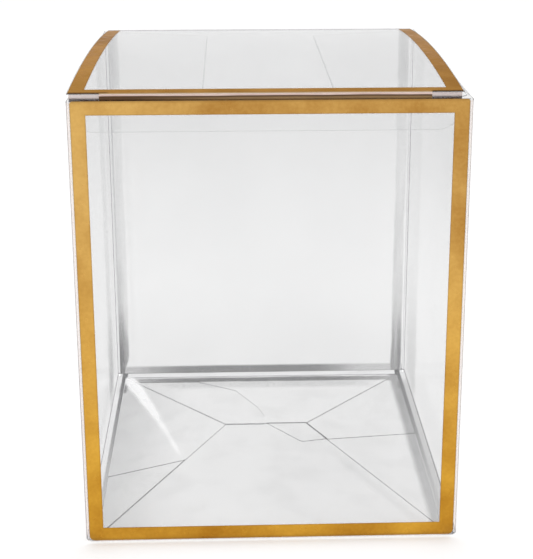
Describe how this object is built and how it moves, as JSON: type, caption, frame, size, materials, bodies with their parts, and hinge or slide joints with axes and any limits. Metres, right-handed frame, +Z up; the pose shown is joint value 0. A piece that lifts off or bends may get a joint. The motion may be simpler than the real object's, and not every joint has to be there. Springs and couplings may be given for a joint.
{
  "type": "wedding card box",
  "caption": "Clear folding carton for wedding cards with a gold foil border on its front and lid, a tuck-in hinged lid, dust flaps and a self-locking floor.",
  "frame": {"origin": "centre of the box's footprint, on the surface that it stands on", "axes": "+Z up, the foil-bordered front panel faces -Y, the lid hinges along the +Y side"},
  "size_m": [0.25, 0.3002, 0.3078],
  "materials": {
    "clear_sheet": "clear, glossy, thin PET sheet",
    "folded_crease": "clear sheet, slightly whitened where it is folded",
    "clear_glue": "dried clear glue film",
    "gold_foil": "hot-stamped foil, satin gold"
  },
  "bodies": {
    "carton": {"front_panel": "clear_sheet", "right_side_panel": "clear_sheet", "back_panel": "clear_sheet", "left_side_panel": "clear_sheet", "corner_seam_flap": "clear_sheet", "front_bottom_flap": "clear_sheet", "front_flap_glue_tab": "clear_sheet", "back_bottom_flap": "clear_sheet", "back_flap_glue_wing": "clear_sheet", "back_flap_lock_hook": "clear_sheet", "left_bottom_flap": "clear_sheet", "left_flap_inner_leaf": "clear_sheet", "right_bottom_flap": "clear_sheet", "front_left_corner_crease": "folded_crease", "front_right_corner_crease": "folded_crease", "back_right_corner_crease": "folded_crease", "back_left_corner_crease": "folded_crease", "front_bottom_crease": "folded_crease", "right_bottom_crease": "folded_crease", "back_bottom_crease": "folded_crease", "left_bottom_crease": "folded_crease", "lid_hinge_crease": "folded_crease", "left_dust_crease": "folded_crease", "right_dust_crease": "folded_crease", "seam_glue_line": "clear_glue", "left_tab_glue_patch": "clear_glue", "right_wing_glue_patch": "clear_glue", "front_foil_border": "gold_foil"},
    "lid": {"lid_panel": "clear_sheet", "lid_foil_border": "gold_foil", "tuck_fold_crease": "folded_crease"},
    "tuck": {"tuck_flap": "clear_sheet", "tuck_foil_strip": "gold_foil"},
    "left_dust": {"left_dust_flap": "clear_sheet"},
    "right_dust": {"right_dust_flap": "clear_sheet"}
  },
  "joints": [
    {"name": "lid_hinge", "type": "hinge", "parent": "carton", "child": "lid", "pos_m": [0, 0.14975, 0.2995], "axis": [-1, 0, 0], "range_deg": [0, 215]},
    {"name": "tuck_fold", "type": "hinge", "parent": "lid", "child": "tuck", "pos_m": [0, -0.1478, 0.304], "axis": [-1, 0, 0], "range_deg": [0, 65]},
    {"name": "left_dust_hinge", "type": "hinge", "parent": "carton", "child": "left_dust", "pos_m": [-0.124, 0, 0.2995], "axis": [0, 1, 0], "range_deg": [0, 78]},
    {"name": "right_dust_hinge", "type": "hinge", "parent": "carton", "child": "right_dust", "pos_m": [0.124, 0, 0.2995], "axis": [0, -1, 0], "range_deg": [0, 78]}
  ],
  "couplings": [
    {"joint": "tuck_fold", "follows": "lid_hinge", "ratio": 0.3}
  ]
}
